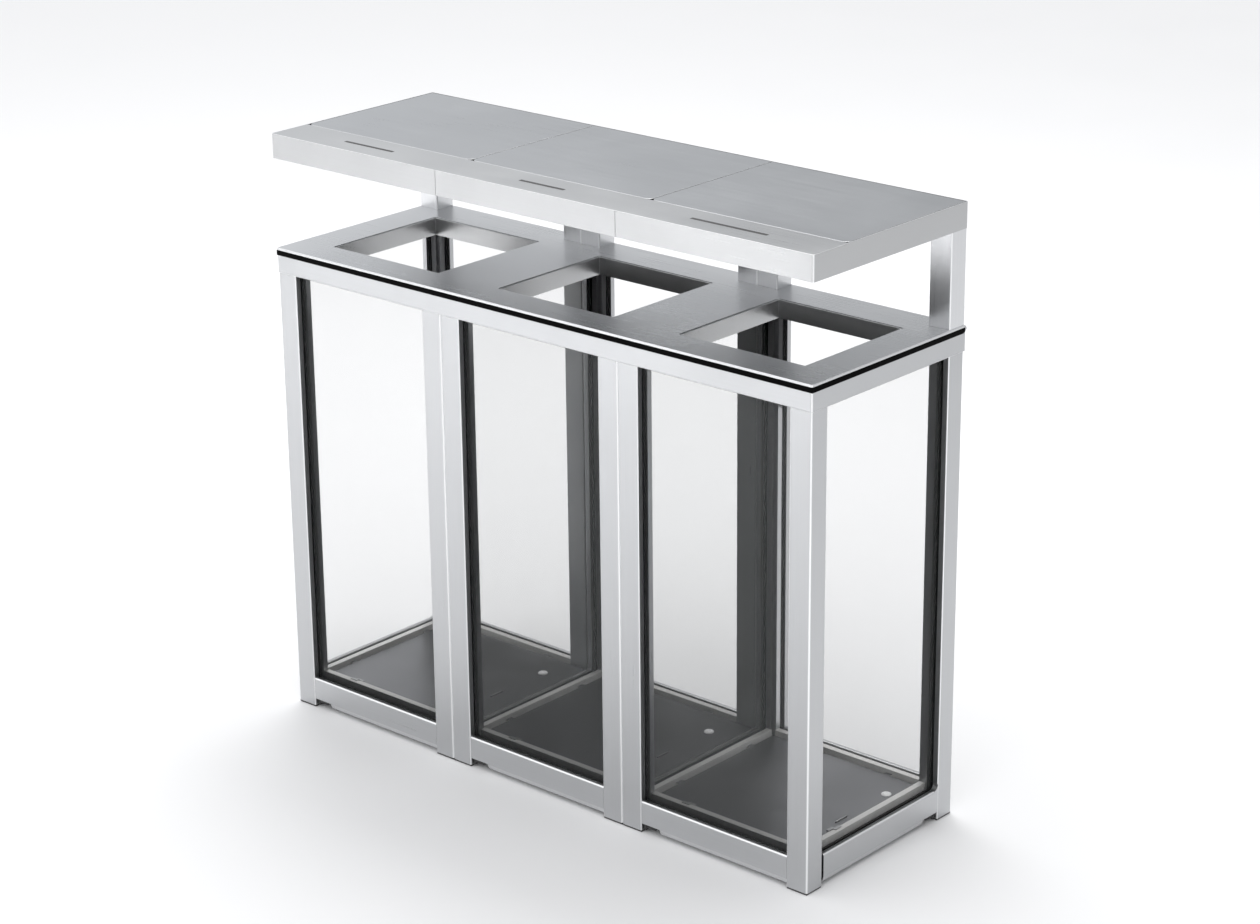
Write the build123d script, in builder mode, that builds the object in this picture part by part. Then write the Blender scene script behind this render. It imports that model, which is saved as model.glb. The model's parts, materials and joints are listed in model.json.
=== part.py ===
"""Glazed recycling station: three square bays side by side under one hinged lid and canopy.

Frame: millimetres, +Z up, +X to the right along the front, the front faces -Y.
The origin is on the floor at the centre of the bounding box.
"""
from build123d import *
import os

# ---- driving dimensions -------------------------------------------------------------------
bay_names = ["left", "centre", "right"]
bay_pitch = 400.0
body_width = bay_pitch * len(bay_names)
body_depth = 400.0
hinge_overhang = 10.0            # the lid hinges stand this far behind the body
skin_inset = 1.0                 # posts stand back this far from the top frame's face
sheet = 2.0                      # wall of every folded profile

foot_height = 3.0
post_width = 43.0                # along X
post_depth = 40.0                # along Y
lip = 11.0                       # outer lip of a glazing groove
groove = 13.0                    # width of a glazing groove
groove_depth = 13.0
stile = 11.0                     # inner lip of a glazing groove
edge_radius = 4.0
lip_radius = 2.5

rail_bottom = 8.0
rail_top = 58.0
rail_seat = 40.0                 # the glazing stands on this level inside a rail
notch_length = 40.0
notch_height = 8.5
hem_inset = 3.0                  # the lower edge of a rail is folded in by this much
end_rail_gap = 4.0               # open joint between an end rail and its front post
web_radius = 10.0                # rounded inner corner where an end rail meets its rear post

tray_rim_inset = 27.0
tray_slot_width = 7.0            # dark gap between the floor plate and its rim bars
tray_tab_width = 14.0
tray_tab_spread = 95.0
tray_rim_width = 11.0
tray_rim_bottom = 43.0
tray_rim_top = 63.0
tray_floor_top = 56.0
tray_sheet = 1.5
tray_tongue_gap = 0.5

frame_bottom = 829.0
frame_top = 862.0
frame_seat = 842.0               # roof of the glazing groove in the top frame
band_chamfer = 1.0               # lower outer edge of the top frame
seal_inset = 4.0
seal_width = 20.0
seal_top = 869.7
lid_bottom = 870.0
lid_top = 874.5
lid_flange = 26.0
chute_width = 256.0              # outer size along X
chute_depth = 253.0              # outer size along Y
chute_shift_x = 5.0              # chutes sit this far right of each bay's middle
chute_shift_y = -6.0             # and this far forward
chute_bottom = 842.0
chute_corner = 3.0
chute_seam = 2.0                 # open seam between a chute and the lid round it
chute_drop = 1.0                 # a chute's rim lies this far below the lid's top
chute_flange = 12.0

roof_bottom = 1037.0
roof_top = 1081.0
roof_flange = 46.0
roof_strip = 85.0                # width of the plain strip behind the front edge
cover_sheet = 2.0
cover_gap = 1.2
cover_corner = 12.0
seam_width = 0.8

pane_thickness = 4.0
pane_clearance = 2.0             # between a pane's edge and the bottom of its groove
channel_recess = 6.0             # the rubber channels end this far inside their grooves

ring_size = 280.0
ring_bar = 3.0
ring_bottom = 838.0
ring_top = 860.0
ring_corner = 12.0

hinge_width = 36.0
hinge_leaf = 2.5
hinge_radius = 5.0
pin_radius = 2.5
pin_clearance = 0.05
hinge_z = (frame_top + lid_bottom) / 2

plug_radius = 8.0
plug_offset = 70.0               # lock plug's distance behind the front face
plug_z = 851.0
bolt_stroke = 8.0
throw_radius = bolt_stroke / 2 ** 0.5    # eccentric pin's distance from the plug's axis

# ---- derived places -----------------------------------------------------------------------
front_y = -(body_depth + hinge_overhang) / 2
rear_y = front_y + body_depth
middle_y = (front_y + rear_y) / 2
left_x = -body_width / 2
right_x = body_width / 2
post_front = front_y + skin_inset
post_rear = rear_y - skin_inset
groove_end = lip + groove
stile_end = groove_end + stile
hinge_y = rear_y + hinge_radius
chute_y = middle_y + chute_shift_y
bay_centres = [left_x + bay_pitch * (i + 0.5) for i in range(len(bay_names))]
chute_centres = [x + chute_shift_x for x in bay_centres]
boundaries = [left_x + bay_pitch * (i + 1) for i in range(len(bay_names) - 1)]

os.makedirs("parts", exist_ok=True)


def save(builder, name):
    """Label a finished sub-part and write its STEP file."""
    builder.part.label = name
    export_step(builder.part, f"parts/{name}.step")


def block(x0, x1, y0, y1, z0, z1, mode=Mode.ADD):
    """A box between two corners, in the current part."""
    with Locations(((x0 + x1) / 2, (y0 + y1) / 2, (z0 + z1) / 2)):
        Box(x1 - x0, y1 - y0, z1 - z0, mode=mode)


def ring(outer_inset, inner_inset, z0, z1, mode=Mode.ADD):
    """A rectangular ring, inset from the body's outer faces, in the current part."""
    with BuildSketch(Plane.XY.offset(z0)) as outline:
        with Locations((0, middle_y)):
            Rectangle(body_width - 2 * outer_inset, body_depth - 2 * outer_inset)
            Rectangle(body_width - 2 * inner_inset, body_depth - 2 * inner_inset, mode=Mode.SUBTRACT)
    extrude(outline.sketch, amount=z1 - z0, mode=mode)


def folded_profile(plane, points, rounded, wall=sheet):
    """The section of a folded sheet tube: an outline with some corners rounded, less its inside."""
    with BuildSketch(plane) as section:
        Polygon(*points, align=Align.NONE)
        for corner, radius in rounded:
            fillet(section.vertices().sort_by_distance(Vector(*corner))[0], radius)
        offset(amount=-wall, kind=Kind.INTERSECTION, mode=Mode.SUBTRACT)
    return section.sketch


def bay_faces(index):
    """The outer x of a bay's left and right posts."""
    x0 = left_x + bay_pitch * index
    x1 = x0 + bay_pitch
    if index == 0:
        x0 += skin_inset
    if index == len(bay_names) - 1:
        x1 -= skin_inset
    return x0, x1


# ---- posts: a glazing groove towards the bay's front or rear, and one towards its side ----
corner_outline = [
    (0, 0),
    (post_width, 0),
    (post_width, lip),
    (post_width - groove_depth, lip),
    (post_width - groove_depth, groove_end),
    (post_width, groove_end),
    (post_width, stile_end),
    (stile_end, stile_end),
    (stile_end, post_depth),
    (groove_end, post_depth),
    (groove_end, post_depth - groove_depth),
    (lip, post_depth - groove_depth),
    (lip, post_depth),
    (0, post_depth),
]
# The right side of the first bays has no pane: the next bay's divider closes it.
plain_side_outline = corner_outline[:6] + [(post_width, post_depth), (0, post_depth)]
post_places = []
for index, bay in enumerate(bay_names):
    last = index == len(bay_names) - 1
    for side, x, inward_x in (("left", bay_faces(index)[0], 1), ("right", bay_faces(index)[1], -1)):
        outline = corner_outline if side == "left" or last else plain_side_outline
        for row, y, inward_y in (("front", post_front, 1), ("rear", post_rear, -1)):
            corners = [(x + inward_x * u, y + inward_y * v) for u, v in outline]
            inside = (x + inward_x * 15, y + inward_y * 13.5)
            post_places.append((f"{bay}_{row}_{side}_post", corners, inside))

for name, corners, inside in post_places:
    with BuildPart() as post:
        rounded = [(corners[0], edge_radius), (corners[1], lip_radius), (corners[-1], lip_radius)]
        section = folded_profile(Plane.XY.offset(foot_height), corners, rounded)
        extrude(section, amount=frame_bottom - foot_height)
    save(post, name)

# ---- foot plugs ---------------------------------------------------------------------------
plug_inset = 1.0
stub_height = 12.0
with BuildPart() as foot_plugs:
    for name, corners, inside in post_places:
        with BuildSketch():
            Polygon(*corners, align=Align.NONE)
            offset(amount=-plug_inset, kind=Kind.INTERSECTION, mode=Mode.REPLACE)
        extrude(amount=foot_height)
        with BuildSketch(Plane.XY.offset(foot_height)):
            with Locations(inside):
                Rectangle(22, 19)
        extrude(amount=stub_height)
save(foot_plugs, "foot_plugs")

# ---- bottom rails -------------------------------------------------------------------------
rail_inset = 1.0                 # rails stand back this far from the posts' faces
rail_outline = [
    (rail_inset, rail_bottom + notch_height),
    (rail_inset, rail_top),
    (lip, rail_top),
    (lip, rail_seat),
    (groove_end, rail_seat),
    (groove_end, rail_bottom),
    (rail_inset + hem_inset, rail_bottom),
]


def rail_along_x(name, x0, x1, face_y, inward, notch_at):
    """A rail across the front or rear of a bay, with an access notch at one lower end."""
    corners = [(face_y + inward * u, z) for u, z in rail_outline]
    with BuildPart() as rail:
        rounded = [(corners[1], edge_radius), (corners[2], lip_radius)]
        extrude(folded_profile(Plane.YZ.offset(x0), corners, rounded), amount=x1 - x0)
        near, far = sorted((notch_at, notch_at + (notch_length if notch_at == x0 else -notch_length)))
        low, high = sorted((face_y, face_y + inward * groove_end))
        block(near, far, low, high, rail_bottom, rail_bottom + notch_height, mode=Mode.SUBTRACT)
    save(rail, name)


def rail_along_y(name, y0, y1, face_x, inward):
    """A rail between two bays."""
    corners = [(face_x + inward * u, z) for u, z in rail_outline]
    with BuildPart() as rail:
        rounded = [(corners[1], edge_radius), (corners[2], lip_radius)]
        extrude(folded_profile(Plane.XZ.offset(-y0), corners, rounded), amount=y0 - y1)
    save(rail, name)


def end_rail(name, y0, y1, face_x, inward):
    """A rail flush with its posts across an end, notched below its rear end and webbed to its rear post."""
    corners = [(face_x + inward * u, z) for u, z in rail_outline]
    low, high = sorted((face_x, face_x + inward * groove_end))
    web0, web1 = sorted((face_x + inward * rail_inset, face_x + inward * lip))
    with BuildPart() as rail:
        rounded = [(corners[1], edge_radius), (corners[2], lip_radius)]
        extrude(folded_profile(Plane.XZ.offset(-y0), corners, rounded), amount=y0 - y1)
        block(low, high, y1 - notch_length, y1, rail_bottom, rail_bottom + notch_height, mode=Mode.SUBTRACT)
        with BuildSketch(Plane.YZ.offset(web0)) as web:
            with Locations((y1 - web_radius / 2, rail_top + web_radius / 2 - edge_radius / 2)):
                Rectangle(web_radius, web_radius + edge_radius)
            with Locations((y1 - web_radius, rail_top + web_radius)):
                Circle(web_radius, mode=Mode.SUBTRACT)
        extrude(web.sketch, amount=web1 - web0)
    save(rail, name)


for index, bay in enumerate(bay_names):
    bay_left, bay_right = bay_faces(index)
    x0 = bay_left + post_width
    x1 = bay_right - post_width
    rail_along_x(f"{bay}_front_rail", x0, x1, post_front, 1, notch_at=x0)
    rail_along_x(f"{bay}_rear_rail", x0, x1, post_rear, -1, notch_at=x1)

rail_y0 = post_front + post_depth
rail_y1 = post_rear - post_depth
flush = skin_inset - rail_inset
end_rail("left_end_rail", rail_y0 + end_rail_gap, rail_y1, left_x + flush, 1)
end_rail("right_end_rail", rail_y0 + end_rail_gap, rail_y1, right_x - flush, -1)
for name, x in zip(("left_divider_rail", "right_divider_rail"), boundaries):
    rail_along_y(name, rail_y0, rail_y1, x, 1)

# ---- panes and the rubber channels round their edges --------------------------------------
pane_face = lip + (groove - pane_thickness) / 2
pane_bottom = rail_seat + pane_clearance
pane_top = frame_seat - pane_clearance
hidden_width = post_width - groove_depth     # post metal beyond the groove, along X
hidden_depth = post_depth - groove_depth     # the same along Y
pane_boxes = {}
channel_boxes = []


def across_x(bay_left, bay_right, face_y, inward):
    """A pane and its channel in the front or rear opening of a bay."""
    y0, y1 = sorted((face_y + inward * pane_face, face_y + inward * (pane_face + pane_thickness)))
    c0, c1 = sorted((face_y + inward * lip, face_y + inward * groove_end))
    x0 = bay_left + hidden_width
    x1 = bay_right - hidden_width
    pane = (x0 + pane_clearance, x1 - pane_clearance, y0, y1, pane_bottom, pane_top)
    outer = (x0, x1, c0, c1, rail_seat, frame_seat)
    side0 = bay_left + post_width - channel_recess
    side1 = bay_right - post_width + channel_recess
    inner = (side0, side1, c0, c1, rail_top - channel_recess, frame_bottom + channel_recess)
    return pane, (outer, inner, pane)


def across_y(face_x, inward):
    """A pane and its channel in an end or divider opening."""
    x0, x1 = sorted((face_x + inward * pane_face, face_x + inward * (pane_face + pane_thickness)))
    c0, c1 = sorted((face_x + inward * lip, face_x + inward * groove_end))
    y0 = post_front + hidden_depth
    y1 = post_rear - hidden_depth
    pane = (x0, x1, y0 + pane_clearance, y1 - pane_clearance, pane_bottom, pane_top)
    outer = (c0, c1, y0, y1, rail_seat, frame_seat)
    side0 = rail_y0 - channel_recess
    side1 = rail_y1 + channel_recess
    inner = (c0, c1, side0, side1, rail_top - channel_recess, frame_bottom + channel_recess)
    return pane, (outer, inner, pane)


for index, bay in enumerate(bay_names):
    bay_left, bay_right = bay_faces(index)
    pane_boxes[f"{bay}_front_pane"], channel = across_x(bay_left, bay_right, post_front, 1)
    channel_boxes.append(channel)
    pane_boxes[f"{bay}_rear_pane"], channel = across_x(bay_left, bay_right, post_rear, -1)
    channel_boxes.append(channel)
upright_panes = [
    ("left_end_pane", left_x + skin_inset, 1),
    ("right_end_pane", right_x - skin_inset, -1),
    ("left_divider_pane", boundaries[0], 1),
    ("right_divider_pane", boundaries[1], 1),
]
for name, face_x, inward in upright_panes:
    pane_boxes[name], channel = across_y(face_x, inward)
    channel_boxes.append(channel)

pane_chamfer = 0.6
for name, limits in pane_boxes.items():
    with BuildPart() as pane:
        block(*limits)
        chamfer(pane.edges(), pane_chamfer)
    save(pane, name)

with BuildPart() as glazing_channels:
    for outer, inner, slot in channel_boxes:
        block(*outer)
        block(*inner, mode=Mode.SUBTRACT)
        block(*slot, mode=Mode.SUBTRACT)
save(glazing_channels, "glazing_channels")

# ---- floor trays --------------------------------------------------------------------------
tray_hole_radius = 7.0
tray_hole_x = 149.0
tray_hole_y = 92.0
tray_last_hole_x = 140.0
tray_slot_y = -33.0
tray_slot = (3.0, 32.0)
rim_end_gap = 0.5


def tray_bar(x0, x1, y0, y1):
    """A hollow rim bar of a floor tray."""
    block(x0, x1, y0, y1, tray_rim_bottom, tray_rim_top)
    t = tray_sheet
    if x1 - x0 > y1 - y0:
        block(x0, x1, y0 + t, y1 - t, tray_rim_bottom + t, tray_rim_top - t, mode=Mode.SUBTRACT)
    else:
        block(x0 + t, x1 - t, y0, y1, tray_rim_bottom + t, tray_rim_top - t, mode=Mode.SUBTRACT)


for index, bay in enumerate(bay_names):
    bay_left, bay_right = bay_faces(index)
    is_last = index == len(bay_names) - 1
    rim_in = tray_rim_inset + tray_rim_width
    inner_x0 = bay_left + rim_in
    inner_x1 = bay_right - rim_in
    inner_y0 = post_front + rim_in
    inner_y1 = post_rear - rim_in
    bar_x0 = bay_left + post_width + rim_end_gap
    bar_x1 = bay_right - post_width - rim_end_gap
    bar_y0 = rail_y0 + rim_end_gap
    bar_y1 = rail_y1 - rim_end_gap
    foot_z = (tray_rim_bottom, tray_rim_bottom + tray_sheet)
    with BuildPart() as floor_tray:
        tray_bar(bar_x0, bar_x1, inner_y0 - tray_rim_width, inner_y0)
        tray_bar(bar_x0, bar_x1, inner_y1, inner_y1 + tray_rim_width)
        tray_bar(inner_x0 - tray_rim_width, inner_x0, bar_y0, bar_y1)
        block(bar_x0, bar_x1, post_front + groove_end, inner_y0, *foot_z)
        block(bar_x0, bar_x1, inner_y1, post_rear - groove_end, *foot_z)
        if is_last:
            tray_bar(inner_x1, inner_x1 + tray_rim_width, bar_y0, bar_y1)
        else:
            block(
                inner_x1 - post_width, bay_right - tray_tongue_gap,
                inner_y0 + tray_slot_width, inner_y1 - tray_slot_width,
                tray_floor_top - tray_sheet, tray_floor_top,
            )
        plate_x1 = inner_x1 - tray_slot_width if is_last else inner_x1
        plate = (inner_x0 + tray_slot_width, plate_x1, inner_y0 + tray_slot_width, inner_y1 - tray_slot_width)
        block(*plate, tray_floor_top - tray_sheet, tray_floor_top)
        for spread in (-tray_tab_spread, tray_tab_spread):
            tab_x = bay_centres[index] + spread
            tab_y = middle_y + spread
            half_tab = tray_tab_width / 2
            tab_z = (tray_floor_top - tray_sheet, tray_floor_top)
            block(tab_x - half_tab, tab_x + half_tab, inner_y0 - 1, inner_y1 + 1, *tab_z)
            block(inner_x0 - 1, inner_x1 + (1 if is_last else 0), tab_y - half_tab, tab_y + half_tab, *tab_z)
        hole_x = tray_last_hole_x if is_last else tray_hole_x
        with Locations((bay_centres[index] + hole_x, middle_y + tray_hole_y, tray_floor_top)):
            Cylinder(tray_hole_radius, 4 * tray_sheet, mode=Mode.SUBTRACT)
        with Locations((bay_centres[index] + hole_x, middle_y + tray_slot_y, tray_floor_top)):
            Box(tray_slot[0], tray_slot[1], 4 * tray_sheet, mode=Mode.SUBTRACT)
    save(floor_tray, f"{bay}_floor_tray")

# ---- floor anchor brackets inside the corners of every bay --------------------------------
bracket_spread = 138.0           # from a bay's centre line to a bracket's hole
bracket_width = 36.0
bracket_reach = 32.0
bracket_height = 30.0
bracket_sheet = 4.0
anchor_radius = 4.5
anchor_inset = post_front + groove_end + 18.0 - front_y
with BuildPart() as anchor_brackets:
    for centre in bay_centres:
        for x in (centre - bracket_spread, centre + bracket_spread):
            for wall_y, inward in (
                (post_front + groove_end, 1),
                (post_rear - groove_end, -1),
            ):
                y0, y1 = sorted((wall_y, wall_y + inward * bracket_reach))
                t0, t1 = sorted((wall_y, wall_y + inward * bracket_sheet))
                block(x - bracket_width / 2, x + bracket_width / 2, y0, y1, 0, bracket_sheet)
                block(x - bracket_width / 2, x + bracket_width / 2, t0, t1, 0, bracket_height)
                with Locations((x, wall_y + inward * 18.0, bracket_sheet / 2)):
                    Cylinder(anchor_radius, 2 * bracket_sheet, mode=Mode.SUBTRACT)
save(anchor_brackets, "anchor_brackets")

# ---- top frame ----------------------------------------------------------------------------
frame_width = stile_end + skin_inset
with BuildPart() as top_frame:
    ring(0, frame_width, frame_bottom, frame_top)
    fillet(top_frame.edges().filter_by(Axis.Z).group_by(SortBy.DISTANCE)[-1], edge_radius)
    outer_face = top_frame.faces().sort_by(Axis.Z)[0]
    chamfer(outer_face.outer_wire().edges(), band_chamfer)
    for x in boundaries:
        block(x, x + stile_end, front_y + frame_width, rear_y - frame_width, frame_bottom, frame_top)
    low = frame_bottom + sheet
    high = frame_top - sheet
    ring(sheet, skin_inset + lip - sheet, low, high, mode=Mode.SUBTRACT)
    ring(skin_inset + lip, skin_inset + groove_end, frame_bottom, frame_seat, mode=Mode.SUBTRACT)
    ring(skin_inset + lip, skin_inset + groove_end, frame_seat + sheet, high, mode=Mode.SUBTRACT)
    ring(skin_inset + groove_end + sheet, frame_width - sheet, low, high, mode=Mode.SUBTRACT)
    across0 = front_y + frame_width
    across1 = rear_y - frame_width
    for x in boundaries:
        block(x + sheet, x + lip - sheet, across0, across1, low, high, mode=Mode.SUBTRACT)
        block(x + lip, x + groove_end, across0, across1, frame_seat + sheet, high, mode=Mode.SUBTRACT)
        block(
            x + groove_end + sheet, x + stile_end - sheet, across0, across1, low, high,
            mode=Mode.SUBTRACT,
        )
        block(
            x + lip, x + groove_end,
            post_front + hidden_depth, post_rear - hidden_depth,
            frame_bottom, frame_seat, mode=Mode.SUBTRACT,
        )
    with Locations(Location((left_x + frame_width / 2, front_y + plug_offset, plug_z), (0, 90, 0))):
        Cylinder(plug_radius + pin_clearance, frame_width + 2, mode=Mode.SUBTRACT)
save(top_frame, "top_frame")

# ---- rubber seal strips on the top frame --------------------------------------------------
seal_joint = 0.4
with BuildPart() as lid_seal:
    s0 = seal_inset
    s1 = seal_inset + seal_width
    block(left_x + s0, right_x - s0, front_y + s0, front_y + s1, frame_top, seal_top)
    block(left_x + s0, right_x - s0, rear_y - s1, rear_y - s0, frame_top, seal_top)
    for x0 in (left_x + s0, right_x - s1):
        block(
            x0, x0 + seal_width, front_y + s1 + seal_joint, rear_y - s1 - seal_joint,
            frame_top, seal_top,
        )
save(lid_seal, "lid_seal")

# ---- bag rings ----------------------------------------------------------------------------
lug_width = 16.0
lug_thickness = 4.0
lug_spread = 90.0
for bay, centre in zip(bay_names, chute_centres):
    with BuildPart() as bag_ring:
        with BuildSketch(Plane.XY.offset(ring_bottom)):
            with Locations((centre, middle_y)):
                RectangleRounded(ring_size, ring_size, ring_corner)
                RectangleRounded(
                    ring_size - 2 * ring_bar, ring_size - 2 * ring_bar, ring_corner - ring_bar,
                    mode=Mode.SUBTRACT,
                )
        extrude(amount=ring_top - ring_bottom)
        fillet(bag_ring.edges().group_by(Axis.Z)[-1], 1.0)
        half = ring_size / 2
        for x in (centre - lug_spread, centre + lug_spread):
            for y0, y1 in (
                (front_y + frame_width, middle_y - half + 1),
                (middle_y + half - 1, rear_y - frame_width),
            ):
                block(
                    x - lug_width / 2, x + lug_width / 2, y0, y1,
                    ring_bottom + 2, ring_bottom + 2 + lug_thickness,
                )
    save(bag_ring, f"{bay}_bag_ring")

# ---- lid plate and the chutes through it --------------------------------------------------
lid_corner = 3.0
lid_edge = 1.2
with BuildPart() as lid_plate:
    with BuildSketch(Plane.XY.offset(lid_bottom)):
        with Locations((0, middle_y)):
            RectangleRounded(body_width, body_depth, lid_corner)
    extrude(amount=lid_top - lid_bottom)
    fillet(lid_plate.edges().group_by(Axis.Z)[-1], lid_edge)
    with BuildSketch(Plane.XY.offset(lid_bottom + tray_sheet)):
        with Locations((0, middle_y)):
            Rectangle(body_width - 2 * sheet, body_depth - 2 * sheet)
    extrude(amount=lid_top - sheet - lid_bottom - tray_sheet, mode=Mode.SUBTRACT)
    with BuildSketch(Plane.XY.offset(lid_bottom)):
        with Locations((0, middle_y)):
            Rectangle(body_width - 2 * lid_flange, body_depth - 2 * lid_flange)
    extrude(amount=tray_sheet, mode=Mode.SUBTRACT)
    opening = (chute_width + 2 * chute_seam, chute_depth + 2 * chute_seam)
    with BuildSketch(Plane.XY.offset(lid_bottom)):
        with Locations([(x, chute_y) for x in chute_centres]):
            RectangleRounded(*opening, chute_corner + chute_seam)
    extrude(amount=lid_top - lid_bottom, mode=Mode.SUBTRACT)
save(lid_plate, "lid_plate")

chute_flange_top = lid_top - sheet
for bay, centre in zip(bay_names, chute_centres):
    with BuildPart() as chute:
        with BuildSketch(Plane.XY.offset(chute_bottom)):
            with Locations((centre, chute_y)):
                RectangleRounded(chute_width, chute_depth, chute_corner)
        extrude(amount=lid_top - chute_drop - chute_bottom)
        with BuildSketch(Plane.XY.offset(chute_flange_top - tray_sheet)):
            with Locations((centre, chute_y)):
                RectangleRounded(chute_width + 2 * chute_flange, chute_depth + 2 * chute_flange, chute_corner)
        extrude(amount=tray_sheet)
        with BuildSketch(Plane.XY.offset(chute_bottom)):
            with Locations((centre, chute_y)):
                RectangleRounded(chute_width - 2 * sheet, chute_depth - 2 * sheet, chute_corner - sheet)
        extrude(amount=lid_top - chute_bottom, mode=Mode.SUBTRACT)
    save(chute, f"{bay}_chute")

# ---- roof supports ------------------------------------------------------------------------
support_groups = {"roof_supports_left": [], "roof_supports_right": []}
for index in range(len(bay_names)):
    for x, inward in zip(bay_faces(index), (1, -1)):
        group = "roof_supports_left" if x + inward < 0 else "roof_supports_right"
        support_groups[group].append((x, inward))
for name, places in support_groups.items():
    with BuildPart() as supports:
        for x, inward in places:
            corners = [
                (x, post_rear),
                (x, post_rear - post_depth),
                (x + inward * post_width, post_rear - post_depth),
                (x + inward * post_width, post_rear),
            ]
            rounded = [(corner, lip_radius) for corner in corners]
            section = folded_profile(Plane.XY.offset(lid_top), corners, rounded)
            extrude(section, amount=roof_bottom - lid_top)
    save(supports, name)

# ---- roof ---------------------------------------------------------------------------------
shelf = 22.0
rib_half = 16.0
rib_height = 18.0
shelf_top = roof_top - cover_sheet
with BuildPart() as roof_frame:
    with BuildSketch(Plane.XY.offset(roof_bottom)):
        with Locations((0, middle_y)):
            RectangleRounded(body_width, body_depth, edge_radius)
    extrude(amount=roof_top - roof_bottom)
    fillet(roof_frame.edges().group_by(Axis.Z)[-1], 1.0)
    ring_inset = sheet
    block(
        left_x + ring_inset, right_x - ring_inset,
        front_y + roof_strip, rear_y - ring_inset,
        shelf_top, roof_top, mode=Mode.SUBTRACT,
    )
    block(
        left_x + ring_inset, right_x - ring_inset,
        front_y + ring_inset, rear_y - ring_inset,
        roof_bottom + sheet, shelf_top - sheet, mode=Mode.SUBTRACT,
    )
    block(
        left_x + roof_flange, right_x - roof_flange,
        front_y + roof_flange, rear_y - roof_flange,
        roof_bottom, roof_bottom + sheet, mode=Mode.SUBTRACT,
    )
    shelf_edges = [left_x + shelf] + [x + s * rib_half for x in boundaries for s in (-1, 1)]
    shelf_edges.append(right_x - shelf)
    for x0, x1 in zip(shelf_edges[0::2], shelf_edges[1::2]):
        block(
            x0, x1, front_y + roof_strip + shelf, rear_y - shelf,
            shelf_top - sheet, shelf_top, mode=Mode.SUBTRACT,
        )
    for x in boundaries:
        for side in (-1, 1):
            rib_x = x + side * (rib_half - sheet / 2)
            block(
                rib_x - sheet / 2, rib_x + sheet / 2,
                front_y + ring_inset, rear_y - ring_inset,
                shelf_top - rib_height, shelf_top - sheet,
            )
        for y in (front_y, rear_y):
            block(
                x - seam_width / 2, x + seam_width / 2, y - 1, y + 1,
                roof_bottom, roof_top, mode=Mode.SUBTRACT,
            )
save(roof_frame, "roof_frame")

cover_edges = [left_x + sheet + cover_gap]
for x in boundaries:
    cover_edges += [x - cover_gap / 2, x + cover_gap / 2]
cover_edges.append(right_x - sheet - cover_gap)
cover_y0 = front_y + roof_strip + cover_gap
cover_y1 = rear_y - sheet - cover_gap
for bay, x0, x1 in zip(bay_names, cover_edges[0::2], cover_edges[1::2]):
    with BuildPart() as cover:
        block(x0, x1, cover_y0, cover_y1, shelf_top, roof_top)
        fillet(cover.edges().filter_by(Axis.Z).group_by(Axis.Y)[0], cover_corner)
        fillet(cover.edges().group_by(Axis.Z)[-1], 0.6)
    save(cover, f"{bay}_roof_cover")

# ---- lid hinges ---------------------------------------------------------------------------
post_middle = post_width / 2
hinge_places = [left_x + skin_inset + post_middle, boundaries[0] + post_middle]
hinge_places += [-x for x in reversed(hinge_places)]
knuckle_gap = 0.3
third = hinge_width / 3
leaf_low = frame_bottom + 3
leaf_high = lid_top + 30
knuckle_outer = [(0, third - knuckle_gap), (2 * third + knuckle_gap, hinge_width)]
knuckle_middle = [(third, 2 * third)]


def hinge_leaves(segments, plate_z0, plate_z1, reach_z0, reach_z1):
    """One half of every hinge: a plate, and knuckles on the hinge axis."""
    for centre in hinge_places:
        start = centre - hinge_width / 2
        block(start, start + hinge_width, rear_y, rear_y + hinge_leaf, plate_z0, plate_z1)
        for s0, s1 in segments:
            block(start + s0, start + s1, rear_y, rear_y + hinge_leaf, reach_z0, reach_z1)
            middle = start + (s0 + s1) / 2
            with Locations(Location((middle, hinge_y, hinge_z), (0, 90, 0))):
                Cylinder(hinge_radius, s1 - s0)
                Cylinder(pin_radius, s1 - s0, mode=Mode.SUBTRACT)


with BuildPart() as hinge_frame_leaves:
    hinge_leaves(knuckle_outer, leaf_low, hinge_z - hinge_radius, hinge_z - hinge_radius, hinge_z)
save(hinge_frame_leaves, "hinge_frame_leaves")

with BuildPart() as hinge_lid_leaves:
    hinge_leaves(knuckle_middle, hinge_z + hinge_radius, leaf_high, hinge_z, hinge_z + hinge_radius)
save(hinge_lid_leaves, "hinge_lid_leaves")

pin_head = 1.5
with BuildPart() as hinge_pins:
    for centre in hinge_places:
        with Locations(Location((centre, hinge_y, hinge_z), (0, 90, 0))):
            Cylinder(pin_radius - pin_clearance, hinge_width)
        for side in (-1, 1):
            head_x = centre + side * (hinge_width + pin_head) / 2
            with Locations(Location((head_x, hinge_y, hinge_z), (0, 90, 0))):
                Cylinder(pin_radius + 1, pin_head)
save(hinge_pins, "hinge_pins")

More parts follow.
